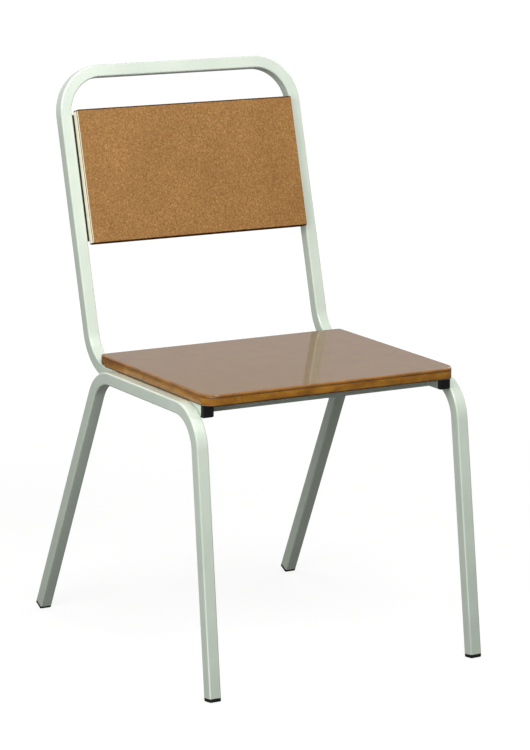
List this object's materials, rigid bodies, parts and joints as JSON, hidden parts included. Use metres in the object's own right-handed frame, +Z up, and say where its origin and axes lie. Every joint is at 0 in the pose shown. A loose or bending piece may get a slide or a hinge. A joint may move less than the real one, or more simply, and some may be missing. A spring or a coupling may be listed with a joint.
{
  "type": "stacking school chair",
  "caption": "Stacking school chair with a flat board seat and backrest on a welded frame of bent square steel tube, for sitting at a desk.",
  "frame": {"origin": "on the floor, at the centre of the overall plan outline", "axes": "+Z up, the chair faces -Y, +X is the right-hand side seen from the front"},
  "size_m": [0.4694, 0.5686, 0.8602],
  "materials": {
    "frame_paint": "semi-gloss",
    "strip_paint": "satin black",
    "seat_varnish": "glossy varnish",
    "backrest_board": "satin",
    "board_core": "satin",
    "black_plastic": "matte",
    "screw_steel": "satin"
  },
  "bodies": {
    "root": {"back_hoop": "frame_paint", "back_strip_left": "strip_paint", "back_strip_right": "strip_paint", "back_strip_welds": "strip_paint", "backrest_core": "board_core", "backrest_face": "backrest_board", "backrest_screws": "screw_steel", "foot_cap_front_left": "black_plastic", "foot_cap_front_right": "black_plastic", "foot_cap_rear_left": "black_plastic", "foot_cap_rear_right": "black_plastic", "front_cross_rail": "frame_paint", "front_cross_rail_welds": "frame_paint", "leg_frame_left": "frame_paint", "leg_frame_right": "frame_paint", "rail_plug_left": "black_plastic", "rail_plug_right": "black_plastic", "rail_welds_left": "frame_paint", "rail_welds_right": "frame_paint", "rear_cross_rail": "frame_paint", "rear_cross_rail_welds": "frame_paint", "seat_core": "board_core", "seat_face": "seat_varnish", "seat_screws": "screw_steel"}
  },
  "joints": []
}
